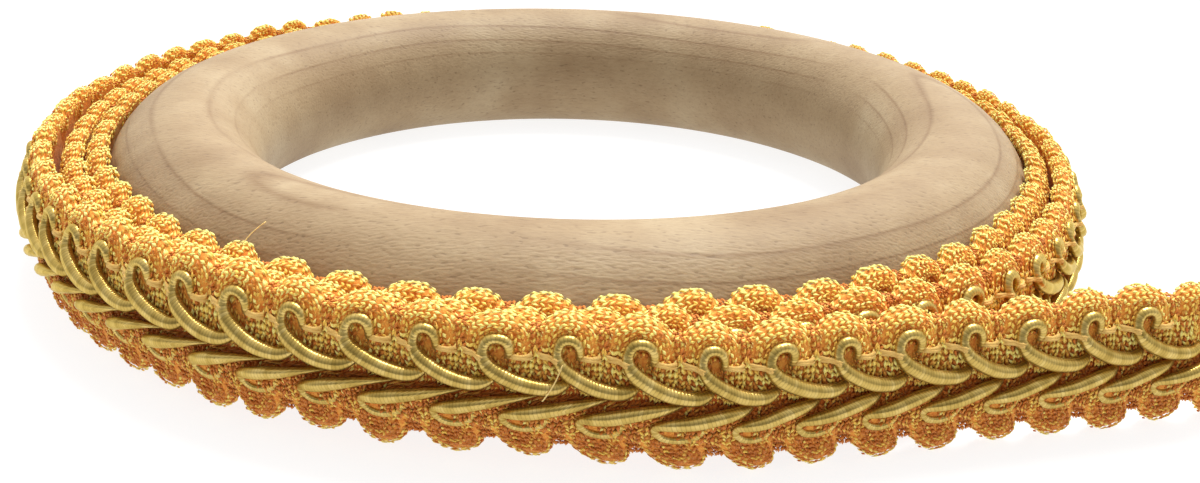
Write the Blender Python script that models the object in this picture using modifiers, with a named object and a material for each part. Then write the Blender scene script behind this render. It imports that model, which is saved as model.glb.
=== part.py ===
"""Gimp braid wound on a turned wooden ring, with its free end led away along the table.

Run with: blender --background --python part.py
Units are metres, +Z is up and the table is z = 0. The origin is the middle of the
bounding box's underside, so the ring's own axis stands a little to one side of it.
"""

import math
from collections import namedtuple

import bmesh
import bpy
import numpy as np

MM = 0.001

# The wooden ring: a torus, turned, with a narrow flat that it stands on.
RING_DIAMETER = 70.0 * MM
RING_THICKNESS = 11.1 * MM
RING_FLAT_DEPTH = 0.15 * MM
RING_STEPS = 64
RING_SIDES = 16

# The braid: a flat band with a scallop on each edge for each repeat of its two cords.
BRAID_WIDTH = 9.6 * MM
BRAID_THICKNESS = 1.3 * MM
UPPER_LEAN = 0.75 * MM  # how far each edge curls in towards the wood
LOWER_LEAN = 1.10 * MM
REPEAT = 3.70 * MM
SCALLOP_HEIGHT = 1.15 * MM
CORD_RISE = 0.8 * MM
COLUMNS_PER_REPEAT = 4
TURN_GAP = 0.3 * MM

# How the band is wound, anticlockwise from its inner end: at each winding angle its
# middle's distance from the ring's axis and how far its lower edge is off the table.
# It lies on the wood for one turn, climbs over its own inner end, goes slack at the
# left, rides up a little at the front and leaves the coil at the front right.
FIRST_TURN = RING_DIAMETER / 2 + TURN_GAP + BRAID_THICKNESS / 2
SECOND_TURN = FIRST_TURN + BRAID_THICKNESS + TURN_GAP
THIRD_TURN = SECOND_TURN + BRAID_THICKNESS + TURN_GAP

Lay = namedtuple("Lay", "angle radius lift")
WINDING = (
    Lay(angle=148.8, radius=FIRST_TURN, lift=0.0),
    Lay(angle=453, radius=FIRST_TURN, lift=0.0),
    Lay(angle=502, radius=SECOND_TURN, lift=0.0),
    Lay(angle=640, radius=SECOND_TURN, lift=0.0),
    Lay(angle=672, radius=SECOND_TURN + 1.00 * MM, lift=0.0),
    Lay(angle=705, radius=SECOND_TURN, lift=0.0),
    Lay(angle=813, radius=SECOND_TURN, lift=0.0),
    Lay(angle=862, radius=THIRD_TURN, lift=0.0),
    Lay(angle=918, radius=THIRD_TURN + 0.35 * MM, lift=0.0),
    Lay(angle=975, radius=THIRD_TURN, lift=0.80 * MM),
    Lay(angle=986, radius=THIRD_TURN + 0.10 * MM, lift=0.70 * MM),
    Lay(angle=1005, radius=THIRD_TURN + 0.80 * MM, lift=0.0),
)
TAIL_LENGTH = 31.0 * MM
COVERED_TO = 645  # up to this winding angle the next turn lies over the band's face
OPENING_REPEATS = 4  # over which the cords rise to their full height
CUT_REPEATS = 2  # over which they straighten before the cut end

# The band's section, once round. Across is the height above the band's middle in a
# scallop's dip and scallop is what a tip adds to it; out is the distance from the
# band's middle surface and puff what a tip adds to that; rise is the share of
# CORD_RISE that a cord lifts the point by; lead is how many repeats the point lies
# ahead of the edges, because the two cords run together to a point.
Row = namedtuple("Row", "across scallop out puff rise lead")
HALF_WIDTH = BRAID_WIDTH / 2
DIP = HALF_WIDTH - SCALLOP_HEIGHT
FACE = 0.50 * MM
PUFF = BRAID_THICKNESS / 2 - FACE
EDGE = Row(DIP, SCALLOP_HEIGHT, 0.0, 0.0, 0.0, 0.0)
SHOULDER = Row(3.0 * MM, 0.55 * MM, FACE, PUFF, 0.0, 0.0)
CORD_OUTSIDE = Row(2.2 * MM, 0.0, FACE, 0.0, 0.7, 0.0)
CORD_INSIDE = Row(1.1 * MM, 0.0, FACE, 0.0, 1.0, 0.45)
MEETING = Row(0.0, 0.0, FACE, 0.0, 0.5, 1.0)
BACK = Row(3.1 * MM, 0.55 * MM, -FACE, -PUFF, 0.0, 0.0)
BACK_MIDDLE = Row(0.0, 0.0, -FACE, 0.0, 0.0, 0.0)
UPPER_HALF = (MEETING, CORD_INSIDE, CORD_OUTSIDE, SHOULDER, EDGE, BACK)
LOWER_HALF = (BACK_MIDDLE, BACK, EDGE, SHOULDER, CORD_OUTSIDE, CORD_INSIDE)
FACE_ROWS = (0, 1, 2, 10, 11)  # of the whole section: those that a cord lifts

OAK_WHITE = (0.72, 0.56, 0.38, 1.0)
GOLD_YARN = (0.86, 0.50, 0.12, 1.0)


def clear_scene():
    for thing in list(bpy.data.objects):
        bpy.data.objects.remove(thing)


def finish_material(name, colour, roughness):
    material = bpy.data.materials.new(name)
    material.use_nodes = True
    shader = material.node_tree.nodes["Principled BSDF"]
    shader.inputs["Base Color"].default_value = colour
    shader.inputs["Roughness"].default_value = roughness
    shader.inputs["Metallic"].default_value = 0.0
    return material


def add_object(name, mesh, material, collection):
    thing = bpy.data.objects.new(name, mesh)
    thing.data.materials.append(material)
    collection.objects.link(thing)
    return thing


def ease(share):
    """0 to 1 with level ends."""
    share = np.clip(share, 0.0, 1.0)
    return share * share * (3.0 - 2.0 * share)


# ---------------------------------------------------------------- the wooden ring


def wooden_ring(material, collection):
    """The section's circle with a flat under it, turned about the ring's axis."""
    radius = RING_THICKNESS / 2
    middle = RING_DIAMETER / 2 - radius
    height = radius - RING_FLAT_DEPTH
    half_flat = math.acos(height / radius)
    sweep = 2 * math.pi - 2 * half_flat
    profile = bmesh.new()
    corners = []
    for step in range(RING_SIDES):
        angle = -math.pi / 2 + half_flat + sweep * step / (RING_SIDES - 1)
        place = (middle + radius * math.cos(angle), 0.0, height + radius * math.sin(angle))
        corners.append(profile.verts.new(place))
    for here, after in zip(corners, corners[1:] + corners[:1]):
        profile.edges.new((here, after))
    mesh = bpy.data.meshes.new("wooden_ring")
    profile.to_mesh(mesh)
    profile.free()
    ring = add_object("wooden_ring", mesh, material, collection)
    turning = ring.modifiers.new("turned on the lathe", "SCREW")
    turning.axis = "Z"
    turning.steps = turning.render_steps = RING_STEPS
    turning.use_merge_vertices = True
    turning.merge_threshold = 0.00001
    turning.use_smooth_shade = True
    turning.use_normal_flip = True
    return ring


# ---------------------------------------------------------------- how the band lies


def winding_value(name, angle):
    """The wound band's radius or lift, level at each row of WINDING."""
    angles = np.array([lay.angle for lay in WINDING], float)
    values = np.array([getattr(lay, name) for lay in WINDING])
    row = np.clip(np.searchsorted(angles, angle) - 1, 0, len(WINDING) - 2)
    share = ease((angle - angles[row]) / (angles[row + 1] - angles[row]))
    return values[row] + (values[row + 1] - values[row]) * share


def band_path():
    """Points along the band's lower edge, and how far along the band each lies."""
    degrees = np.linspace(WINDING[0].angle, WINDING[-1].angle, 1771)
    radius = winding_value("radius", degrees)
    turned = np.radians(degrees)
    coil = np.stack(
        [radius * np.cos(turned), radius * np.sin(turned), winding_value("lift", degrees)],
        axis=1,
    )
    leaving = coil[-1] - coil[-2]
    leaving[2] = 0.0
    leaving /= np.linalg.norm(leaving)
    run = np.linspace(0.0, TAIL_LENGTH + 2 * REPEAT, 60)[1:, None]
    points = np.concatenate([coil, coil[-1] + run * leaving])
    steps = np.linalg.norm(np.diff(points[:, :2], axis=0), axis=1)
    along = np.concatenate([[0.0], np.cumsum(steps)])
    covered = np.interp(COVERED_TO, degrees, along[: len(degrees)])
    return points, along, covered, along[len(degrees) - 1]


def place_on_path(path_points, path_along, along, out, height):
    """A point that far along the band, that far out from it and that high on it."""
    step = 0.2 * MM
    here, behind, ahead = (
        np.stack([np.interp(at, path_along, path_points[:, axis]) for axis in range(3)], axis=-1)
        for at in (along, along - step, along + step)
    )
    heading = ahead - behind
    heading /= np.linalg.norm(heading[..., :2], axis=-1, keepdims=True)
    here[..., 0] += heading[..., 1] * out
    here[..., 1] -= heading[..., 0] * out
    here[..., 2] += height
    return here


# ---------------------------------------------------------------- the braid


def band_row(row, side, repeats, open_face, path_points, path_along):
    """One row of the section all along the band, side being 1 above and -1 below.

    The lower edge's scallops and cords come half a repeat after the upper edge's.
    """
    phase = repeats if side > 0 else repeats - 0.5
    from_tip = np.abs((phase + 0.5) % 1.0 - 0.5) * 2.0
    tip = 1.0 - from_tip**2
    cord = 0.5 + 0.5 * np.cos(2 * math.pi * phase)
    if row is MEETING:
        cord = np.ones_like(repeats)
    across = row.across + row.scallop * tip
    lean = (UPPER_LEAN if side > 0 else LOWER_LEAN) * (across / HALF_WIDTH) ** 2
    return place_on_path(
        path_points,
        path_along,
        (repeats + row.lead * open_face) * REPEAT,
        row.out + row.puff * tip + CORD_RISE * row.rise * cord * open_face - lean,
        HALF_WIDTH + side * across,
    )


def braid_points(covered, band_length, path_points, path_along):
    """The band's points, by row of the section and column along the band."""
    count = int(band_length / REPEAT) * COLUMNS_PER_REPEAT + COLUMNS_PER_REPEAT // 4
    repeats = np.arange(count + 1) / COLUMNS_PER_REPEAT
    open_face = ease((repeats - covered / REPEAT) / OPENING_REPEATS)
    open_face = open_face * ease((repeats[-1] - repeats) / CUT_REPEATS)
    sides = [(row, 1) for row in UPPER_HALF] + [(row, -1) for row in LOWER_HALF]
    return np.stack(
        [
            band_row(row, side, repeats, open_face, path_points, path_along)
            for row, side in sides
        ]
    )


def gimp_braid(material, collection):
    """One closed band: a grid bent round its section, wound, and closed at both ends."""
    path_points, path_along, covered, coil_end = band_path()
    points = braid_points(covered, coil_end + TAIL_LENGTH, path_points, path_along)
    rows, columns = points.shape[:2]
    band = bmesh.new()
    bmesh.ops.create_grid(band, x_segments=columns - 1, y_segments=rows, size=1.0)
    grid = np.array(band.verts[:], dtype=object).reshape(rows + 1, columns)
    for row in range(rows + 1):
        for column in range(columns):
            grid[row, column].co = points[row % rows, column]
    bmesh.ops.weld_verts(band, targetmap=dict(zip(grid[rows], grid[0])))
    plain_columns = int(covered / REPEAT * COLUMNS_PER_REPEAT)
    leave_out_cords(band, grid, plain_columns)
    bmesh.ops.holes_fill(band, edges=[edge for edge in band.edges if edge.is_boundary])
    bmesh.ops.recalc_face_normals(band, faces=band.faces)
    mesh = bpy.data.meshes.new("gimp_braid")
    band.to_mesh(mesh)
    band.free()
    mesh.shade_smooth()
    mesh.set_sharp_from_angle(angle=math.radians(50))
    return add_object("gimp_braid", mesh, material, collection)


def leave_out_cords(band, grid, plain_columns):
    """Makes the face plain on the turns that the next turn hides."""
    lengthwise = [
        band.edges.get((grid[row, column], grid[row, column + 1]))
        for row in FACE_ROWS
        for column in range(plain_columns)
    ]
    bmesh.ops.dissolve_edges(band, edges=lengthwise, use_verts=True)


# ---------------------------------------------------------------- the whole object


def stand_on_origin(things):
    """Puts the middle of the bounding box's underside on the origin."""
    bpy.context.view_layer.update()
    graph = bpy.context.evaluated_depsgraph_get()
    corners = np.array(
        [vert.co for thing in things for vert in thing.evaluated_get(graph).data.vertices]
    )
    low, high = corners.min(axis=0), corners.max(axis=0)
    centre = (-(low[0] + high[0]) / 2, -(low[1] + high[1]) / 2, -low[2])
    for thing in things:
        thing.location = centre
    print("the ring's axis stands at", [round(value / MM, 3) for value in centre], "mm")


def main():
    clear_scene()
    collection = bpy.data.collections.new("gimp braid on a wooden ring")
    bpy.context.scene.collection.children.link(collection)
    ring = wooden_ring(finish_material("turned wood", OAK_WHITE, 0.6), collection)
    braid = gimp_braid(finish_material("gold yarn", GOLD_YARN, 0.55), collection)
    stand_on_origin([ring, braid])


main()
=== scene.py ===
"""A gimp braid wound on a turned wooden ring, its free end led away along the table.

The braid is made flat, one repeat at a time, then repeated along its length and wound.
Flat lengths are in millimetres: x along the braid, y across it from its middle and z
out of its face. Placed pieces are in metres.
"""

import math
from collections import namedtuple
from functools import partial

import bmesh
import bpy
import numpy as np
from mathutils import Matrix, Vector


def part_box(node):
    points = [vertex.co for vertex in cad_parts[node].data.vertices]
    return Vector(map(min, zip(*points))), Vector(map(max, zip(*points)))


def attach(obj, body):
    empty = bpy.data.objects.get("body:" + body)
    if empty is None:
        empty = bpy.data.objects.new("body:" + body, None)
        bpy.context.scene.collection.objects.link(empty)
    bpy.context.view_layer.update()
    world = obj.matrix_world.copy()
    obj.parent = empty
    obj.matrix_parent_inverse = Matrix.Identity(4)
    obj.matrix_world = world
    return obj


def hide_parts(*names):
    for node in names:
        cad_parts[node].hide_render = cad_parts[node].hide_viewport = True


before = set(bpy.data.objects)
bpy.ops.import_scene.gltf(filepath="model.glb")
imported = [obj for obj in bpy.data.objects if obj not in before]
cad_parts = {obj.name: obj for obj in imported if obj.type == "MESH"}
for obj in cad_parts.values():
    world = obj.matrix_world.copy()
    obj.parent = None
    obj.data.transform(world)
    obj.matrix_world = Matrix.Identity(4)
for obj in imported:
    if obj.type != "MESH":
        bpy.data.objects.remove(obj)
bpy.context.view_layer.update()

MM = 0.001
TO_MM = (1000, 1000, 1000)
rng = np.random.default_rng(70)

# ------------------------------------------------------------------ sizes

RING_LOW, RING_HIGH = (Vector(corner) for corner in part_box("wooden_ring"))
RING_AXIS = (RING_LOW + RING_HIGH) / 2
RING_RADIUS = (RING_HIGH.x - RING_LOW.x) / 2 / MM
RING_FLAT_DEPTH = 0.15
TUBE_RADIUS = ((RING_HIGH.z - RING_LOW.z) / MM + RING_FLAT_DEPTH) / 2
FACET_SAG = 0.09  # how far the solid's facets fall short of the round ring

BRAID_WIDTH = 9.6
HALF_WIDTH = BRAID_WIDTH / 2
THICKNESS = 1.3
REPEAT = 3.70
UPPER, LOWER = 1, -1  # the braid's two halves, by the sign of y
LOWER_LAG = 0.5  # of a repeat: the flat braid's lower scallops come after its upper ones
TURN_GAP = 0.3
TAIL_LENGTH = 31.0
CUT_END = 0.25  # of a repeat: bare ground past the last whole one

WOOD_EDGE = 35.0  # the round ring's outer radius
FIRST_TURN = WOOD_EDGE + TURN_GAP + THICKNESS / 2
SECOND_TURN = FIRST_TURN + THICKNESS + TURN_GAP
THIRD_TURN = SECOND_TURN + THICKNESS + TURN_GAP
COVERED_TO = 645  # the angle wound up to which the next turn hides the braid's face

# The way the braid is wound, by the angle wound so far: its middle's distance from the
# ring's axis and how far its lower edge is off the table; by what share of a repeat it
# is drawn on, and its lower cords and lower scallops come after the upper ones; how far
# its upper half is drawn up, its upper scallops are pressed down, and its upper and
# lower edges lean in. Lengths are in millimetres and angles in degrees.
Lay = namedtuple("Lay", "angle radius lift drawn cord_lag lag rise press upper_lean lower_lean")
WINDING = (
    Lay(148.8, FIRST_TURN, 0.0, 0.0, 0.5, 0.5, 0.0, 0.1, 1.2, 1.1),
    Lay(240, FIRST_TURN, 0.0, 0.0, 0.5, 0.5, 0.0, 0.1, 1.2, 1.1),
    Lay(262, FIRST_TURN, 0.0, 0.2, 0.5, 0.5, 0.0, 0.2, 1.2, 1.1),
    Lay(302, FIRST_TURN, 0.0, 0.65, 0.5, 0.5, 0.0, 0.2, 1.25, 1.1),
    Lay(340, FIRST_TURN, 0.0, 0.6, 0.5, 0.5, 0.0, 0.1, 1.6, 1.1),
    Lay(453, FIRST_TURN, 0.0, 0.4, 0.5, 0.5, 0.0, 0.1, 1.2, 1.1),
    Lay(502, SECOND_TURN, 0.0, 0.2, 0.5, 0.5, 0.0, 0.1, 1.2, 1.1),
    Lay(610, SECOND_TURN, 0.0, 0.0, 0.5, 0.5, 0.0, 0.3, 1.2, 1.1),
    Lay(640, SECOND_TURN, 0.0, 0.2, 0.5, 0.5, 0.0, 0.3, 1.2, 1.1),
    Lay(672, SECOND_TURN + 0.7, 0.0, 0.5, 0.5, 0.5, 0.0, 0.2, 1.25, 1.1),
    Lay(705, SECOND_TURN, 0.0, 0.5, 0.5, 0.5, 0.0, 0.1, 1.1, 1.1),
    Lay(813, SECOND_TURN, 0.0, 0.1, 0.5, 0.5, 0.0, 0.0, 0.9, 1.1),
    Lay(862, THIRD_TURN, 0.0, -0.06, 0.5, 0.5, 0.3, 0.0, 0.75, 1.1),
    Lay(918, THIRD_TURN + 0.35, 0.0, -0.06, 0.30, 0.2, 0.45, 0.0, 0.75, 0.9),
    Lay(964, THIRD_TURN + 0.08, 0.60, -0.06, 0.22, 0.20, 0.42, 0.0, 0.75, 0.9),
    Lay(976, THIRD_TURN, 0.75, -0.06, 0.22, 0.20, 0.05, 0.32, 0.75, 1.3),
    Lay(989, THIRD_TURN + 0.15, 0.60, -0.06, 0.30, 0.47, 0.12, 0.26, 0.75, 1.5),
    Lay(1005, THIRD_TURN + 0.8, 0.0, -0.06, 0.56, 0.8, 0.15, 0.24, 0.75, 0.85),
)
COIL_STEPS = 3500
TAIL_STEPS = 100

# Where across the braid each part of a lay begins, from its middle, and over what width
# it comes in.
LOWER_CORDS = (0.0, 0.4)
LOWER_SCALLOPS = (2.4, 1.8)
UPPER_HALF = (0.4, 2.2)
UPPER_SCALLOPS = (3.1, 1.2)
TABLE_CLEARANCE = 0.02  # no point of the braid lies lower

# ------------------------------------------------------------------ small helpers


def linear(hex_colour):
    """An sRGB hex value as linear red, green, blue and alpha."""
    parts = [int(hex_colour[i : i + 2], 16) / 255 for i in (0, 2, 4)]
    plain = [p / 12.92 if p <= 0.04045 else ((p + 0.055) / 1.055) ** 2.4 for p in parts]
    return (*plain, 1.0)


def ease(share):
    """0 to 1 with a soft start and a soft end, as share goes from 0 to 1."""
    share = np.clip(share, 0.0, 1.0)
    return share * share * (3.0 - 2.0 * share)


def points_of(mesh):
    flat = np.empty(len(mesh.vertices) * 3)
    mesh.vertices.foreach_get("co", flat)
    return flat.reshape(-1, 3)


def move_points(mesh, points):
    mesh.vertices.foreach_set("co", np.ascontiguousarray(points, float).ravel())
    mesh.update()


def mesh_from(bm, name):
    mesh = bpy.data.meshes.new(name)
    bm.to_mesh(mesh)
    bm.free()
    return mesh


def add_piece(name, mesh, material):
    piece = bpy.data.objects.new(name, mesh)
    bpy.context.scene.collection.objects.link(piece)
    mesh.materials.clear()
    mesh.materials.append(material)
    mesh.shade_smooth()
    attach(piece, "root")
    return piece


def add_braid_piece(name, mesh, material):
    piece = add_piece(name, mesh, material)
    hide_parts("gimp_braid")
    return piece


# ------------------------------------------------------------------ how the braid lies


def winding_value(name, angle):
    """One of a lay's values at each angle, eased from one row of WINDING to the next."""
    angles = np.array([lay.angle for lay in WINDING], float)
    values = np.array([getattr(lay, name) for lay in WINDING], float)
    row = np.clip(np.searchsorted(angles, angle) - 1, 0, len(WINDING) - 2)
    share = ease((angle - angles[row]) / (angles[row + 1] - angles[row]))
    return values[row] + (values[row + 1] - values[row]) * share


def braid_path():
    """Along the braid's middle: length so far, x and y, and the lay's other values. Then
    the lengths at which the braid comes out from under the next turn and the coil ends."""
    degrees = np.linspace(WINDING[0].angle, WINDING[-1].angle, COIL_STEPS)
    radius = winding_value("radius", degrees)
    turned = np.radians(degrees)
    coil = np.stack([radius * np.cos(turned), radius * np.sin(turned)], axis=1)
    leaving = coil[-1] - coil[-2]
    leaving /= np.linalg.norm(leaving)
    # past the cut end too, where points drawn on along the braid may lie
    run = np.linspace(0.0, TAIL_LENGTH + 3 * REPEAT, TAIL_STEPS)[1:, None]
    plan = np.concatenate([coil, coil[-1] + run * leaving])
    steps = np.linalg.norm(np.diff(plan, axis=0), axis=1)
    along = np.concatenate([[0.0], np.cumsum(steps)])
    rest = []
    for name in Lay._fields[2:]:
        on_tail = np.full(len(run), getattr(WINDING[-1], name))
        rest.append(np.concatenate([winding_value(name, degrees), on_tail]))
    ends = np.interp([COVERED_TO, WINDING[-1].angle], degrees, along[:COIL_STEPS])
    return along, plan, rest, *ends


ALONG, PLAN, REST, COVERED_END, COIL_END = braid_path()
REPEATS = int((COIL_END + TAIL_LENGTH) / REPEAT)
FIRST_OPEN = int(COVERED_END / REPEAT)
OPEN_REPEATS = REPEATS - FIRST_OPEN


def past(across, start, width):
    """How far a change across the braid has come in, from 0 where it starts to 1."""
    return np.clip((across - start) / width, 0.0, 1.0)


def waver(along, size, rate, start=0.0):
    """Hand-laid cloth sways a little along its length: rate is in radians a millimetre."""
    return size * np.sin(along * rate + start)


def plan_heading(along, span=0.3):
    """The braid's heading in plan, from a little behind to a little ahead."""
    ahead, behind = (
        np.stack([np.interp(along + step, ALONG, PLAN[:, axis]) for axis in (0, 1)])
        for step in (span, -span)
    )
    heading = ahead - behind
    return heading / np.linalg.norm(heading, axis=0)


def wound(points):
    """Points on the flat braid, in millimetres, to where they lie, in metres."""
    along, across, out = points.T
    lift, drawn, cord_lag, lag, rise, press, upper_lean, lower_lean = (
        np.interp(along, ALONG, column) for column in REST
    )
    cords_on = past(-across, *LOWER_CORDS) * (cord_lag - LOWER_LAG)
    scallops_on = past(-across, *LOWER_SCALLOPS) * (lag - cord_lag)
    along = along + (drawn + cords_on + scallops_on) * REPEAT
    raised = rise * ease(past(across, *UPPER_HALF))
    pressed = press * ease(past(across, *UPPER_SCALLOPS))
    across = across + raised - pressed
    along = along + waver(along, 0.10, 0.83, across * 0.5)
    lean = np.where(across > 0, upper_lean, lower_lean) * (across / HALF_WIDTH) ** 2
    reach = out - lean
    heading = plan_heading(along)
    plan = [np.interp(along, ALONG, PLAN[:, axis]) for axis in (0, 1)]
    edges = waver(along, 0.07, 0.61) + waver(along, 0.05, 1.37, 1.0)
    width = 1.0 + waver(along, 0.02, 0.47)
    height = HALF_WIDTH + across * width + edges * (across / HALF_WIDTH) + lift
    x = RING_AXIS.x + (plan[0] + heading[1] * reach) * MM
    y = RING_AXIS.y + (plan[1] - heading[0] * reach) * MM
    return np.stack([x, y, np.maximum(height, TABLE_CLEARANCE) * MM], axis=1)


def wind(mesh):
    """Moves a mesh from the flat braid to where it lies."""
    move_points(mesh, wound(points_of(mesh)))


def repeated(tile, first, count, name):
    """The tile's mesh repeated along the flat braid from repeat number first on."""
    carrier = bpy.data.objects.new(name, tile)
    bpy.context.scene.collection.objects.link(carrier)
    array = carrier.modifiers.new("repeats", "ARRAY")
    array.use_relative_offset = False
    array.use_constant_offset = True
    array.constant_offset_displace = (REPEAT, 0, 0)
    array.count = count
    graph = bpy.context.evaluated_depsgraph_get()
    mesh = bpy.data.meshes.new_from_object(carrier.evaluated_get(graph))
    mesh.name = name
    bpy.data.objects.remove(carrier)
    bpy.data.meshes.remove(tile)
    points = points_of(mesh)
    points[:, 0] += first * REPEAT
    move_points(mesh, points)
    return mesh


def bent_tube(bm, path, radii, sides):
    """A closed tube along the points of path, from a grid that is bent round it."""
    path, radii = np.asarray(path, float), np.asarray(radii, float)
    heading = np.gradient(path, axis=0)
    heading /= np.linalg.norm(heading, axis=1, keepdims=True)
    side = np.cross(heading, (0.0, 0.0, 1.0))
    side /= np.maximum(np.linalg.norm(side, axis=1, keepdims=True), 1e-6)
    over = np.cross(side, heading)
    tube = bmesh.new()
    bmesh.ops.create_grid(tube, x_segments=len(path) - 1, y_segments=sides, size=1.0)
    grid = np.array(tube.verts[:], dtype=object).reshape(sides + 1, len(path))
    for turn in range(sides + 1):
        angle = 2 * math.pi * turn / sides
        ring = path + radii[:, None] * (side * math.cos(angle) + over * math.sin(angle))
        for vert, place in zip(grid[turn], ring):
            vert.co = place
    bmesh.ops.weld_verts(tube, targetmap=dict(zip(grid[sides], grid[0])))
    bmesh.ops.holes_fill(tube, edges=[edge for edge in tube.edges if edge.is_boundary])
    bmesh.ops.recalc_face_normals(tube, faces=tube.faces)
    part = mesh_from(tube, "tube")
    bm.from_mesh(part)
    bpy.data.meshes.remove(part)


def smooth_path(knots, step):
    """A Catmull-Rom curve through the knots, which may carry more columns than x, y and
    z, as points a step apart, and the length along it at each."""
    knots = np.asarray(knots, float)
    padded = np.vstack([2 * knots[0] - knots[1], knots, 2 * knots[-1] - knots[-2]])
    t = np.linspace(0, 1, 24, endpoint=False)[:, None]
    fine = []
    for a, b, c, d in zip(padded, padded[1:], padded[2:], padded[3:]):
        squared = (2 * a - 5 * b + 4 * c - d) * t**2
        cubed = (3 * b - a - 3 * c + d) * t**3
        fine.append(0.5 * (2 * b + (c - a) * t + squared + cubed))
    fine = np.vstack(fine + [knots[-1:]])
    steps = np.linalg.norm(np.diff(fine[:, :3], axis=0), axis=1)
    length = np.concatenate([[0], np.cumsum(steps)])
    count = max(int(length[-1] / step), 2)
    at = np.linspace(0, length[-1], count + 1)
    return np.stack([np.interp(at, length, column) for column in fine.T], axis=1), at


# ------------------------------------------------------------------ materials


def new_material(name):
    material = bpy.data.materials.new(name)
    material.use_nodes = True
    return material, material.node_tree.nodes["Principled BSDF"]


def add_node(material, kind, links=None, stops=(), **settings):
    """A node with its settings; a link goes into the input of that name or number, and
    stops are a colour ramp's places and sRGB colours."""
    node = material.node_tree.nodes.new("ShaderNode" + kind)
    for name, value in settings.items():
        if name.startswith("in_"):
            key = name.removeprefix("in_")
            node.inputs[int(key) if key.isdigit() else key].default_value = value
        else:
            setattr(node, name, value)
    for key, source in (links or {}).items():
        material.node_tree.links.new(source, node.inputs[key])
    for number, (place, colour) in enumerate(stops):
        if number > 1:
            node.color_ramp.elements.new(place)
        node.color_ramp.elements[number].position = place
        node.color_ramp.elements[number].color = linear(colour)
    return node


def turned_beech():
    """Bare beech turned on a lathe and sanded: the growth layers cross the tube as long
    soft lines, with short dark pores and rays along the grain."""
    material, shader = new_material("turned_beech")
    place = add_node(material, "TexCoord").outputs["Object"]
    grain = add_node(material, "Mapping", {"Vector": place}, in_Scale=TO_MM).outputs[0]
    # drawn out along the grain, which runs along x
    stretched = add_node(
        material, "Mapping", {"Vector": place}, in_Scale=(320, 1000, 1000)
    ).outputs[0]
    drift = add_node(
        material, "TexNoise", {"Vector": grain}, in_Scale=0.03, in_Detail=1.0, in_Roughness=0.4
    ).outputs["Fac"]
    # growth layers: nearly level sheets, so their edges run round the ring as long
    # curves, seen near its top
    axes = add_node(material, "SeparateXYZ", {0: grain})
    tilted = add_node(
        material,
        "Math",
        {0: axes.outputs["X"], 2: axes.outputs["Z"]},
        operation="MULTIPLY_ADD",
        in_1=0.012,
    ).outputs[0]
    sheet = add_node(
        material, "Math", {0: axes.outputs["Y"], 2: tilted}, operation="MULTIPLY_ADD", in_1=-0.016
    ).outputs[0]
    wandering = add_node(
        material, "Math", {0: drift, 2: sheet}, operation="MULTIPLY_ADD", in_1=3.2
    ).outputs[0]
    layer = add_node(material, "Math", {0: wandering}, operation="DIVIDE", in_1=1.15).outputs[0]
    within = add_node(material, "Math", {0: layer}, operation="FRACT").outputs[0]
    late_wood = [
        (0.0, "101010"),
        (0.50, "303030"),
        (0.80, "909090"),
        (0.90, "FFFFFF"),
        (1.0, "101010"),
    ]
    late = add_node(material, "ValToRGB", {0: within}, stops=late_wood).outputs[0]
    near_top = add_node(
        material, "MapRange", {0: axes.outputs["Z"]}, in_1=6.8, in_2=8.6, in_3=0.06, in_4=1.0
    ).outputs[0]
    cloud = add_node(
        material, "TexNoise", {"Vector": grain}, in_Scale=0.10, in_Detail=3.0, in_Roughness=0.6
    ).outputs["Fac"]
    bare_wood = [(0.30, "967C5B"), (0.52, "A68E6C"), (0.72, "B49F7E")]
    body = add_node(material, "ValToRGB", {0: cloud}, stops=bare_wood).outputs[0]
    fibre = add_node(
        material, "TexNoise", {"Vector": stretched}, in_Scale=4.0, in_Detail=4.0, in_Roughness=0.75
    ).outputs["Fac"]
    fibre_dark = add_node(
        material, "ValToRGB", {0: fibre}, stops=[(0.34, "A08868"), (0.56, "FFFFFF")]
    ).outputs[0]
    pore = add_node(
        material, "TexNoise", {"Vector": stretched}, in_Scale=6.0, in_Detail=0.0
    ).outputs["Fac"]
    pore_dark = add_node(
        material, "ValToRGB", {0: pore}, stops=[(0.23, "7A5B3C"), (0.30, "FFFFFF")]
    ).outputs[0]
    # the layers show in some places and fade in others
    show = add_node(
        material, "TexNoise", {"Vector": grain}, in_Scale=0.06, in_Detail=1.0
    ).outputs["Fac"]
    shown = add_node(
        material, "ValToRGB", {0: show}, stops=[(0.38, "505050"), (0.58, "FFFFFF")]
    ).outputs[0]
    seen = add_node(material, "Math", {0: near_top, 1: shown}, operation="MULTIPLY").outputs[0]
    faded = add_node(material, "Math", {0: late, 1: seen}, operation="MULTIPLY").outputs[0]
    where_late = add_node(material, "Math", {0: faded}, operation="MULTIPLY", in_1=0.45).outputs[0]
    multiply = {"data_type": "RGBA", "blend_type": "MULTIPLY"}
    lined = add_node(
        material, "Mix", {0: where_late, 6: body}, **multiply, in_7=linear("A6804E")
    ).outputs[2]
    fibred = add_node(material, "Mix", {6: lined, 7: fibre_dark}, **multiply, in_0=0.20).outputs[2]
    pored = add_node(material, "Mix", {6: fibred, 7: pore_dark}, **multiply, in_0=0.30).outputs[2]
    material.node_tree.links.new(pored, shader.inputs["Base Color"])
    rough = add_node(
        material, "Math", {0: fibre}, operation="MULTIPLY_ADD", in_1=0.15, in_2=0.50
    ).outputs[0]
    material.node_tree.links.new(rough, shader.inputs["Roughness"])
    shader.inputs["Specular IOR Level"].default_value = 0.3
    height = add_node(material, "Math", {0: pore, 1: fibre}, operation="ADD").outputs[0]
    bump = add_node(material, "Bump", {"Height": height}, in_Strength=0.2, in_Distance=0.0002)
    material.node_tree.links.new(bump.outputs[0], shader.inputs["Normal"])
    return material


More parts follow.
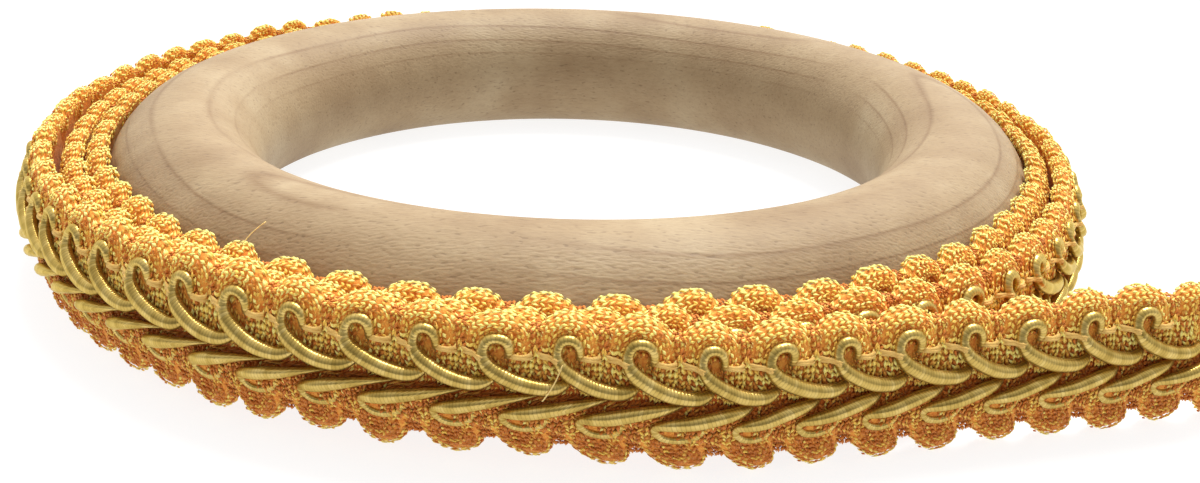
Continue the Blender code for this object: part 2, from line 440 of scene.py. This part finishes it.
def yarn(name, deep, middle, light, roughness, strand=0.8, contrast=1.0):
    """Viscose yarn, gold through its dye, and lustrous. Its colour holds painted light: a
    painted highlight where a strand of its mottling stands proud, and the painted light and
    shade, mixed with the yarn's own tone, that each vertex holds in its shade value. strand
    is how many strands there are to a millimetre in its mottling, and contrast how strong
    that mottling is."""
    material, shader = new_material(name)
    place = add_node(material, "TexCoord").outputs["Object"]
    grain = add_node(material, "Mapping", {"Vector": place}, in_Scale=TO_MM).outputs[0]
    # each vertex's shade value: painted light over the tops and painted shade in recesses, mixed
    # with the yarn's own random tone
    shade = add_node(material, "Attribute", attribute_name="shade").outputs["Fac"]
    patch = add_node(
        material, "TexNoise", {"Vector": grain}, in_Scale=strand, in_Detail=3.0, in_Roughness=0.7
    ).outputs["Fac"]
    blend = add_node(
        material, "Math", {0: patch, 2: shade}, operation="MULTIPLY_ADD", in_1=0.5 * contrast
    ).outputs[0]
    mixed = add_node(
        material, "Math", {0: blend}, operation="SUBTRACT", in_1=0.25 * contrast
    ).outputs[0]
    # the dye's colours from deep to light; the same ramp also gives the painted light and shade
    dye_and_painted_light = [(0.10, deep), (0.46, middle), (0.85, light)]
    colour = add_node(material, "ValToRGB", {0: mixed}, stops=dye_and_painted_light).outputs[0]
    material.node_tree.links.new(colour, shader.inputs["Base Color"])
    bump = add_node(
        material, "Bump", {"Height": patch}, in_Strength=0.5 * contrast - 0.3, in_Distance=0.0001
    )
    material.node_tree.links.new(bump.outputs[0], shader.inputs["Normal"])
    shader.inputs["Roughness"].default_value = roughness
    shader.inputs["Specular IOR Level"].default_value = 0.25
    shader.inputs["Sheen Weight"].default_value = 0.25
    shader.inputs["Sheen Roughness"].default_value = 0.4
    shader.inputs["Sheen Tint"].default_value = linear("FFE9B0")
    return material


def gimp_satin():
    """Viscose floss wrapped tight round a core: olive gold with a silky gleam along the
    cord's edges, and fine ribs across it, one to each turn, with painted shade in the grooves
    between them."""
    material, shader = new_material("gimp_satin")
    turns = add_node(material, "Attribute", attribute_name="turns").outputs["Fac"]
    within = add_node(material, "Math", {0: turns}, operation="FRACT").outputs[0]
    number = add_node(material, "Math", {0: turns}, operation="FLOOR").outputs[0]
    place = add_node(material, "TexCoord").outputs["Object"]
    grain = add_node(material, "Mapping", {"Vector": place}, in_Scale=TO_MM).outputs[0]
    patch = add_node(
        material, "TexNoise", {"Vector": grain}, in_Scale=1.1, in_Detail=2.0
    ).outputs["Fac"]
    each = add_node(
        material, "TexWhiteNoise", {"W": number}, noise_dimensions="1D"
    ).outputs["Value"]
    tone = add_node(
        material, "Math", {0: each, 2: patch}, operation="MULTIPLY_ADD", in_1=0.35
    ).outputs[0]
    olive = [(0.35, "AE9046"), (0.65, "C8AA5C"), (0.95, "DCC076")]
    body = add_node(material, "ValToRGB", {0: tone}, stops=olive).outputs[0]
    # across one turn of floss: 0 in the groove, 1 on its crest
    centred = add_node(material, "Math", {0: within}, operation="PINGPONG", in_1=0.5).outputs[0]
    ridge = add_node(material, "Math", {0: centred}, operation="MULTIPLY", in_1=2.0).outputs[0]
    # painted shade: darker down in the groove between one turn and the next
    groove = add_node(
        material, "ValToRGB", {0: ridge}, stops=[(0.0, "7A6A48"), (0.35, "FFFFFF")]
    ).outputs[0]
    ribbed = add_node(
        material, "Mix", {6: body, 7: groove}, data_type="RGBA", blend_type="MULTIPLY", in_0=0.4
    ).outputs[2]
    material.node_tree.links.new(ribbed, shader.inputs["Base Color"])
    rounded = add_node(material, "Math", {0: ridge}, operation="POWER", in_1=0.6).outputs[0]
    bump = add_node(
        material, "Bump", {"Height": rounded}, in_Strength=0.3, in_Distance=0.00003
    )
    material.node_tree.links.new(bump.outputs[0], shader.inputs["Normal"])
    # floss gleams in its own colour, as no plain plastic does
    shader.inputs["Metallic"].default_value = 0.8
    shader.inputs["Roughness"].default_value = 0.28
    shader.inputs["Specular IOR Level"].default_value = 0.7
    shader.inputs["Specular Tint"].default_value = linear("FFF2B4")
    return material


BEECH = turned_beech()
GROUND_YARN = yarn("ground_yarn", "983E12", "D87428", "F6AE4A", 0.75, 4.0, 2.4)
PLAIT_YARN = yarn("plaited_yarn", "D47C30", "FED45E", "FFF490", 0.55)
GIMP_SATIN = gimp_satin()
BINDER_YARN = yarn("binder_yarn", "BE8A44", "DEB260", "F4D488", 0.65, 3.0)

# ------------------------------------------------------------------ the turned ring


def turned_ring():
    """The section spun about the ring's axis, flat underneath."""
    section = (RING_RADIUS + FACET_SAG - TUBE_RADIUS, 0, TUBE_RADIUS - RING_FLAT_DEPTH)
    bm = bmesh.new()
    bmesh.ops.create_circle(
        bm,
        segments=48,
        radius=TUBE_RADIUS,
        matrix=Matrix.Translation(section) @ Matrix.Rotation(math.pi / 2, 4, "X"),
    )
    bmesh.ops.spin(
        bm,
        geom=bm.verts[:] + bm.edges[:],
        cent=(0, 0, 0),
        axis=(0, 0, 1),
        angle=2 * math.pi,
        steps=192,
        use_merge=True,
    )
    bmesh.ops.remove_doubles(bm, verts=bm.verts, dist=0.0001)
    bmesh.ops.recalc_face_normals(bm, faces=bm.faces)
    mesh = mesh_from(bm, "turned_ring")
    points = points_of(mesh)
    points[:, 2] = np.maximum(points[:, 2], 0.0)
    points *= MM
    points += np.array([RING_AXIS.x, RING_AXIS.y, 0.0])
    move_points(mesh, points)
    ring = add_piece("turned_ring", mesh, BEECH)
    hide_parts("wooden_ring")
    return ring


# ------------------------------------------------------------------ the braid's ground

# One scallop. The middle line of its plait goes up one leg, over the crown and down the
# other: how far each leg stands from the scallop's own middle and the crown from the
# braid's, and how square the line turns. Then, from the braid's middle, how far the dip
# beside it is filled, where the rows of cloth inside it are, how far the ground reaches
# at its tip and in the dip, and where the small loop's eye begins.
Arch = namedtuple("Arch", "leg crown square fill inside tip dip eye")
ARCH = {
    UPPER: Arch(0.98, 3.62, 0.8, 3.48, (2.45, 2.72, 2.98), 4.28, 3.42, 1.85),
    LOWER: Arch(0.88, 3.98, 0.95, 3.30, (2.5, 2.8, 3.1, 3.4), 4.70, 3.10, 1.5),
}
SHOULDER = 2.50  # where the legs end and the crown begins

GROUND_COLUMNS = 12  # to a repeat
GROUND_ROWS = (0.0, 0.2, 0.4, 0.58, 0.74, 0.86, 0.94, 0.985)  # shares of the way to the edge
GROUND_HALF = 0.52  # half its thickness
GROUND_MARGIN = 0.66  # how far it reaches past the middle of a leg, inside the plait's edge
GROOVE_DEPTH, GROOVE_HALF = 0.12, 1.1  # along its middle
SEAM_DEPTH, SEAM_HALF = 0.45, 0.16  # shares of its thickness and of half a repeat
SEAM_START = (1.0, 1.5)  # from its middle, and over what width
COVERED_TIP = 3.75  # a covered lower scallop stays out of sight behind the outer turn's


def ground_braid():
    """The closely plaited ground: a closed band with its scalloped edges."""
    # round the band's section, with fewer rows on its back
    shares = np.array(GROUND_ROWS)
    ring = [(share, UPPER, 1) for share in shares] + [(1.0, UPPER, 0)]
    ring += [(share, UPPER, -1) for share in shares[:0:-2]] + [(0.0, UPPER, -1)]
    ring += [(share, LOWER, -1) for share in shares[2::2]] + [(1.0, LOWER, 0)]
    ring += [(share, LOWER, 1) for share in shares[:0:-1]]
    columns = round((REPEATS + CUT_END) * GROUND_COLUMNS) + 1
    repeats = np.arange(columns) / GROUND_COLUMNS
    rows = []
    for share, side, face in ring:
        arch = ARCH[side]
        phase, tip = repeats, arch.tip
        if side == LOWER:
            phase = repeats - LOWER_LAG
            tip = COVERED_TIP + (tip - COVERED_TIP) * ease(repeats - FIRST_OPEN + 1)
        from_tip = np.abs((phase + 0.5) % 1.0 - 0.5) * 2.0
        out = np.minimum(from_tip * REPEAT / 2 / (arch.leg + GROUND_MARGIN), 1.0)
        curve = (1.0 - out ** (2 / arch.square)) ** (arch.square / 2)
        edge = np.maximum(arch.dip, SHOULDER + (tip - SHOULDER) * curve)
        across = share * HALF_WIDTH
        seam = np.exp(-(((1.0 - from_tip) / SEAM_HALF) ** 2)) * ease(past(across, *SEAM_START))
        groove = GROOVE_DEPTH * (1.0 - ease(across / GROOVE_HALF))
        rounded = (1.0 - share**10) ** 0.5
        half = (GROUND_HALF - groove) * rounded * (1.0 - SEAM_DEPTH * seam)
        rows.append(np.stack([repeats * REPEAT, side * share * edge, face * half], axis=1))
    rows.append(rows[0])
    bm = bmesh.new()
    layer = bm.verts.layers.float.new("shade")
    bmesh.ops.create_grid(bm, x_segments=columns - 1, y_segments=len(ring), size=1.0)
    grid = np.array(bm.verts[:], dtype=object).reshape(len(ring) + 1, columns)
    flat = np.stack(rows)
    places = wound(flat.reshape(-1, 3)).reshape(flat.shape)
    # painted shade: darker along the middle, where the yarn lies deep in the recess between the
    # cords
    shade = 0.28 + 0.4 * ease((np.abs(flat[..., 1]) - 0.5) / 0.9)
    for row in range(len(ring) + 1):
        for vert, place, light in zip(grid[row], places[row], shade[row]):
            vert.co = place
            vert[layer] = light
    bmesh.ops.weld_verts(bm, targetmap=dict(zip(grid[len(ring)], grid[0])))
    bmesh.ops.holes_fill(bm, edges=[edge for edge in bm.edges if edge.is_boundary])
    bmesh.ops.recalc_face_normals(bm, faces=bm.faces)
    return add_braid_piece("ground_braid", mesh_from(bm, "ground_braid"), GROUND_YARN)


# ------------------------------------------------------------------ the plaited scallops

CROWN_HALF = 0.74  # half the plait's width over the crown
PLAIT_DEPTH = 0.68  # how far the plait stands out over the crown
STITCH_ROW = 0.28  # from one row of stitches to the next
STITCH_LENGTH = 0.40
STRAND_WIDTH = 0.20
STRAND_FLATNESS = 0.42
PAIR_OFFSET = 0.10  # how far each strand of a stitch lies from its middle
LEG_MIDDLE = 1.0  # how far a leg's stitches lie from the scallop's middle
LEG_COLUMNS = (-0.80, -0.48, -0.16, 0.16, 0.48, 0.80)
INSIDE_COLUMNS = (-0.48, -0.16, 0.16, 0.48)
DIP_COLUMNS = (-0.26, 0.0, 0.26)
DIP_DEPTHS = (0.26, 0.0, -0.26, -0.50)  # the rows over its top, from face to back
EYE_HALF, EYE_END = 0.42, 2.7  # of the small loop's eye
CROWN_COLUMNS = (-54, -18, 18, 54, 90, 126, 162)  # degrees: 0 on its face, 90 on its rim
LOWER_DARK = 0.31  # the lower scallops lie in the cloth's own shadow

# stitches that run up the braid and out of its face
RUN_UP = np.array([0.0, 1.0, 0.0])
RUN_OUT = np.array([0.0, 0.0, 1.0])


def scallop_line(arch, span=0.25):
    """Points and headings along the plait's middle, a stitch row apart."""
    turn = np.linspace(math.pi, 0.0, 90)
    u = arch.leg * np.sign(np.cos(turn)) * np.abs(np.cos(turn)) ** arch.square
    v = SHOULDER + (arch.crown - SHOULDER) * np.sin(turn) ** arch.square
    up = np.arange(0.0, SHOULDER, 0.05)
    leg = np.full_like(up, arch.leg)
    pieces = [(-leg, up), (u, v), (leg, up[::-1])]
    line = np.concatenate([np.stack(piece, axis=1) for piece in pieces])
    steps = np.linalg.norm(np.diff(line, axis=0), axis=1)
    length = np.concatenate([[0], np.cumsum(steps)])
    at = np.arange(STITCH_ROW / 2, length[-1], STITCH_ROW)
    ahead, place, behind = (
        np.stack([np.interp(at + step, length, line[:, k]) for k in (0, 1)], axis=1)
        for step in (span, 0, -span)
    )
    heading = ahead - behind
    heading /= np.linalg.norm(heading, axis=1, keepdims=True)
    return place, heading


def strand(bm, layer, place, along, out, length, width, shade):
    """One strand of a stitch: a small spindle lying on the plait."""
    along = Vector(along).normalized()
    out = Vector(out).normalized()
    side = out.cross(along).normalized()
    out = along.cross(side)
    turn = Matrix((side, along, out)).transposed().to_4x4()
    size = Matrix.Diagonal((width / 2, length / 2, width * STRAND_FLATNESS, 1.0))
    made = bmesh.ops.create_uvsphere(
        bm,
        u_segments=4,
        v_segments=2,
        radius=1.0,
        matrix=Matrix.Translation(place) @ turn @ size @ Matrix.Rotation(math.pi / 2, 4, "X"),
    )
    for vert in made["verts"]:
        vert[layer] = shade


def stitch(bm, layer, side, centre, run, normal, dark, length=STITCH_LENGTH, slant=33):
    """Two strands leaning together, as one stitch of the plait, slant degrees each."""
    # dark is the painted light and shade for where the stitch lies: above 0 painted shade, below 0
    # a painted highlight
    normal = normal / np.linalg.norm(normal)
    tangent = np.cross(normal, run)
    flip = np.array([1.0, side, 1.0])
    # no two strands alike: slant, place, length, width and tone all vary
    for hand in (-1, 1):
        lean = math.radians(slant + rng.uniform(-26, 26)) * hand
        direction = run * math.cos(lean) + tangent * math.sin(lean)
        place = centre - tangent * (hand * PAIR_OFFSET) + rng.uniform(-0.06, 0.06, 3)
        strand(
            bm,
            layer,
            Vector(place * flip),
            direction * flip,
            normal * flip,
            length * rng.uniform(0.75, 1.2),
            STRAND_WIDTH * rng.uniform(0.8, 1.15),
            float(np.clip(0.5 - dark + rng.normal(0, 0.25), 0, 1)),
        )


def stitch_legs(sew, arch, place, run, under):
    """A row across a leg, which lies flat: columns of stitches side by side."""
    for across in LEG_COLUMNS:
        x = across + math.copysign(LEG_MIDDLE, place[0])
        eye = abs(x) < EYE_HALF and arch.eye < place[1] < EYE_END
        low = 1.0 - ease(place[1] / 0.9)
        # deeper towards the leg's edges and its foot, and in the small loop's eye
        depth = 0.64 - 0.16 * across**2 - 0.16 * low - 0.05 * eye
        # painted shade: darker towards the foot, in the recess between the cords, and in the small
        # loop's eye
        dark = 0.18 * (1.0 - ease(place[1] / 1.6)) + 0.2 * eye + under
        normal = np.array([0.3 * across, -0.5 * low, 1.0])
        sew(np.array([x, place[1], depth]), run, normal, dark, length=0.48, slant=24)


def stitch_crown(sew, place, run, under):
    """A row over the crown, from inside the arch round its rim to its back."""
    outward = np.array([-run[1], run[0]])
    for column in CROWN_COLUMNS:
        angle = math.radians(column)
        rim = CROWN_HALF * math.sin(angle)
        # thinner towards the seams, so that each scallop is a rounded bead
        from_middle = min(abs(place[0] + outward[0] * rim) / (REPEAT / 2), 1.0)
        depth = PLAIT_DEPTH * (1.0 - 0.6 * from_middle**3)
        centre = np.array([*(place + outward * rim), depth * math.cos(angle)])
        normal = np.array([*(outward * math.sin(angle) / CROWN_HALF), math.cos(angle) / depth])
        # painted light: lighter over the top, with painted shade inside the arch and towards the
        # seams, so that each bead stands apart
        edge, inside = max(math.sin(angle), 0.0), max(-math.sin(angle), 0.0)
        dark = under - 0.40 * edge + 0.45 * inside + 0.5 * from_middle**3
        sew(centre, run, normal, dark, STITCH_LENGTH * (1 + 0.35 * edge), 33 - 14 * edge)


def stitch_dip(sew, arch, under):
    """The narrow plait that fills the dip between one scallop and the next."""
    for across in DIP_COLUMNS:
        x = REPEAT / 2 + across
        # painted shade: the stitches down in the dip are darker
        for height in np.arange(arch.fill - 1.2, arch.fill, STITCH_ROW):
            normal = np.array([across, 0.2, 1.0])
            sew(np.array([x, height, 0.42]), RUN_UP, normal, 0.32 + under)
        for depth in DIP_DEPTHS:
            centre = np.array([x, arch.fill + 0.05 - 0.35 * depth**2, depth])
            normal = np.array([across, 1.0, 0.3 * depth])
            sew(centre, RUN_OUT, normal, 0.36 + under, slant=25)


def stitch_inside(sew, arch, under):
    """The cloth inside the scallop's arch."""
    for across in INSIDE_COLUMNS:
        for height in arch.inside:
            normal = np.array([0.3 * across, 0.0, 1.0])
            # painted shade: darker inside the arch
            sew(np.array([across, height, 0.54]), RUN_UP, normal, 0.25 + under)


def plait_tile(name, side, covered=False):
    """The stitches of one scallop. A covered one has none on its legs."""
    bm = bmesh.new()
    layer = bm.verts.layers.float.new("shade")
    sew = partial(stitch, bm, layer, side)
    arch = ARCH[side]
    under = 0.0 if side == UPPER else LOWER_DARK
    for place, heading in zip(*scallop_line(arch)):
        run = np.array([*heading, 0.0])
        if place[1] > SHOULDER - 0.1:
            stitch_crown(sew, place, run, under)
        elif not covered:
            stitch_legs(sew, arch, place, run, under)
    stitch_dip(sew, arch, under)
    stitch_inside(sew, arch, under)
    if side == LOWER:
        bmesh.ops.translate(bm, verts=bm.verts, vec=(LOWER_LAG * REPEAT, 0, 0))
    bmesh.ops.recalc_face_normals(bm, faces=bm.faces)
    return mesh_from(bm, name)


def plait(name, side, first, count, covered=False):
    mesh = repeated(plait_tile(name + "_tile", side, covered), first, count, name)
    wind(mesh)
    return add_braid_piece(name, mesh, PLAIT_YARN)


# ------------------------------------------------------------------ the gimp cords

# One repeat of each cord, from under the small loop, round it and away to the right,
# where it dives under the next: x, how far from the middle, z and the cord's radius.
UPPER_CORD = (
    (0.52, 1.80, 0.30, 0.20),
    (0.60, 2.15, 0.58, 0.26),
    (0.60, 2.56, 0.72, 0.28),
    (0.40, 2.92, 0.78, 0.28),
    (0.00, 3.05, 0.80, 0.28),
    (-0.40, 2.92, 0.80, 0.28),
    (-0.61, 2.56, 0.82, 0.28),
    (-0.66, 2.25, 0.86, 0.29),
    (-0.58, 1.95, 0.92, 0.34),
    (-0.28, 1.58, 1.00, 0.39),
    (0.34, 1.20, 1.04, 0.40),
    (1.15, 0.84, 1.04, 0.40),
    (2.00, 0.62, 1.02, 0.39),
    (2.85, 0.56, 0.95, 0.36),
    (3.40, 0.70, 0.76, 0.28),
    (3.75, 0.90, 0.46, 0.16),
)
LOWER_CORD = (
    (1.40, 1.10, 0.20, 0.18),
    (1.50, 1.55, 0.36, 0.22),
    (1.28, 1.96, 0.42, 0.25),
    (0.84, 2.24, 0.46, 0.26),
    (0.24, 2.34, 0.46, 0.26),
    (-0.28, 2.22, 0.46, 0.26),
    (-0.60, 1.94, 0.48, 0.25),
    (-0.70, 1.62, 0.57, 0.24),
    (-0.56, 1.34, 0.70, 0.26),
    (-0.16, 1.14, 0.92, 0.32),
    (0.36, 0.98, 1.04, 0.38),
    (0.90, 0.84, 1.08, 0.40),
    (1.75, 0.58, 1.06, 0.40),
    (2.50, 0.38, 0.98, 0.37),
    (3.15, 0.26, 0.84, 0.31),
    (3.70, 0.18, 0.62, 0.23),
    (4.10, 0.12, 0.40, 0.13),
)
WRAP_PITCH = 0.18  # from one turn of the wrapping thread to the next


def gimp_cord(name, side):
    """The wrapped cord on one half of the face. Its attribute, turns, counts the turns of
    its wrapping from its start."""
    path, at = smooth_path(UPPER_CORD if side == UPPER else LOWER_CORD, step=0.24)
    path[:, 1] *= side
    if side == LOWER:
        path[:, 0] += LOWER_LAG * REPEAT
    bm = bmesh.new()
    layer = bm.verts.layers.float.new("turns")
    bent_tube(bm, path[:, :3], path[:, 3], sides=12)
    for number, vert in enumerate(bm.verts):
        vert[layer] = at[number % len(at)] / WRAP_PITCH
    mesh = repeated(mesh_from(bm, name + "_tile"), FIRST_OPEN, OPEN_REPEATS - 1, name)
    wind(mesh)
    return add_braid_piece(name, mesh, GIMP_SATIN)


# ------------------------------------------------------------------ binder, loose fibres

# One repeat of the binder's middle line: over the small loop's left side, and on from
# its right.
BINDER_LINES = (
    (
        (-1.70, 2.10, 0.56),
        (-1.42, 2.08, 0.74),
        (-1.0, 2.08, 0.84),
        (-0.72, 2.08, 1.16),
        (-0.42, 2.00, 0.90),
    ),
    (
        (0.62, 2.08, 0.70),
        (0.85, 2.10, 0.84),
        (1.1, 2.10, 0.84),
        (1.42, 2.10, 0.74),
        (1.70, 2.10, 0.56),
    ),
)
BINDER_RADIUS = 0.10
FIBRE_RADIUS = 0.035


def binder_thread():
    """The pale yarn that ties the small loops down: two loose strands, seen in short
    lengths between the loops, that cross over each loop's left side."""
    bm = bmesh.new()
    layer = bm.verts.layers.float.new("shade")
    for hand in (-1, 1):
        for knots in BINDER_LINES:
            path, _ = smooth_path(knots, step=0.14)
            twist = path[:, 0] * 3.0 + hand
            path[:, 1] += hand * 0.08 + 0.05 * np.sin(twist)
            path[:, 2] += 0.04 * hand * np.cos(twist)
            bent_tube(bm, path, np.full(len(path), BINDER_RADIUS), sides=6)
    for vert in bm.verts:
        vert[layer] = 0.5
    tile = mesh_from(bm, "binder_tile")
    mesh = repeated(tile, FIRST_OPEN, OPEN_REPEATS - 1, "binder_thread")
    wind(mesh)
    return add_braid_piece("binder_thread", mesh, BINDER_YARN)


def stray_fibres():
    """Two fine loose fibres, one across the cords in front and one standing off the
    innermost turn, from where each starts to where it ends on the flat braid."""
    bm = bmesh.new()
    layer = bm.verts.layers.float.new("shade")
    front, inner = (REPEATS - 11) * REPEAT, 15 * REPEAT
    for start, end, bow in (
        ((front - 0.35, 2.0, 1.35), (front - 1.35, 0.1, 1.45), 0.05),
        ((inner + 0.3, 4.35, 0.2), (inner + 1.0, 5.55, -0.5), -0.10),
    ):
        share = np.linspace(0.0, 1.0, 12)[:, None]
        path = np.array(start) + (np.array(end) - np.array(start)) * share
        path[:, 0] += bow * np.sin(share[:, 0] * math.pi)
        bent_tube(bm, path, np.full(len(path), FIBRE_RADIUS), sides=5)
    for vert in bm.verts:
        vert[layer] = 1.0
    mesh = mesh_from(bm, "stray_fibres")
    wind(mesh)
    return add_braid_piece("stray_fibres", mesh, BINDER_YARN)


# ------------------------------------------------------------------ table, light, camera


def stage():
    """A table so white that it reads as a plain ground, with a faint soft shadow on it."""
    bm = bmesh.new()
    bmesh.ops.create_grid(bm, x_segments=1, y_segments=1, size=2.0)
    mesh = mesh_from(bm, "table")
    table = bpy.data.objects.new("table", mesh)
    bpy.context.scene.collection.objects.link(table)
    material, shader = new_material("white_table")
    shader.inputs["Base Color"].default_value = (0.2, 0.2, 0.2, 1)
    shader.inputs["Roughness"].default_value = 0.9
    shader.inputs["Emission Color"].default_value = (1, 1, 1, 1)
    shader.inputs["Emission Strength"].default_value = 0.85
    mesh.materials.append(material)


def lights():
    """A pale room and one broad soft light high up, a little behind the ring."""
    bpy.context.scene.view_settings.view_transform = "Standard"
    world = bpy.data.worlds.new("soft_room")
    bpy.context.scene.world = world
    world.use_nodes = True
    background = world.node_tree.nodes["Background"]
    background.inputs["Color"].default_value = (1, 1, 1, 1)
    # bright walls behind and above, a dim room in front
    place = add_node(world, "TexCoord").outputs["Generated"]
    facing = add_node(
        world, "VectorMath", {0: place}, operation="DOT_PRODUCT", in_1=(0.1, 0.75, 0.65)
    ).outputs["Value"]
    strength = add_node(
        world, "MapRange", {0: facing}, in_1=-0.5, in_2=0.8, in_3=0.18, in_4=1.25
    ).outputs[0]
    world.node_tree.links.new(strength, background.inputs["Strength"])
    data = bpy.data.lights.new("soft_top_light", "SUN")
    data.angle = math.radians(32)
    data.energy = 3.7
    light = bpy.data.objects.new("soft_top_light", data)
    light.rotation_euler = Vector((-0.22, -0.38, -1.0)).to_track_quat("-Z", "Y").to_euler()
    bpy.context.scene.collection.objects.link(light)


def camera():
    """Close in front and a little above, as one looks at a small thing on a table."""
    right = Vector((0.9994, -0.0114, 0.0324))
    ahead = Vector((0.0226, 0.9278, -0.3724)).normalized()
    up = right.cross(ahead).normalized()
    right = ahead.cross(up).normalized()
    data = bpy.data.cameras.new("camera")
    data.sensor_width = 36.0
    data.lens = 39.48
    data.clip_start = 0.005
    eye = bpy.data.objects.new("camera", data)
    turn = Matrix((right, up, -ahead)).transposed().to_4x4()
    middle_height = RING_LOW.z + (TUBE_RADIUS - RING_FLAT_DEPTH) * MM
    ring_middle = Vector((RING_AXIS.x, RING_AXIS.y, middle_height))
    from_ring = Vector((0, -0.10014, 0.03289))
    eye.matrix_world = Matrix.Translation(ring_middle + from_ring) @ turn
    bpy.context.scene.collection.objects.link(eye)
    bpy.context.scene.camera = eye


# ------------------------------------------------------------------ making it all

camera()
stage()
lights()
turned_ring()
ground = ground_braid()
# each open plait in two pieces, so that neither has too many triangles
first_half = OPEN_REPEATS // 2
second_half = OPEN_REPEATS - first_half
with_ground = [
    plait("upper_plait", UPPER, FIRST_OPEN, first_half),
    plait("upper_plait_end", UPPER, FIRST_OPEN + first_half, second_half),
    plait("lower_plait", LOWER, FIRST_OPEN, first_half),
    plait("lower_plait_end", LOWER, FIRST_OPEN + first_half, second_half),
    plait("inner_plait", UPPER, 1, FIRST_OPEN - 1, covered=True),
    gimp_cord("upper_gimp_cord", UPPER),
    gimp_cord("lower_gimp_cord", LOWER),
    binder_thread(),
    stray_fibres(),
]

bpy.context.view_layer.update()
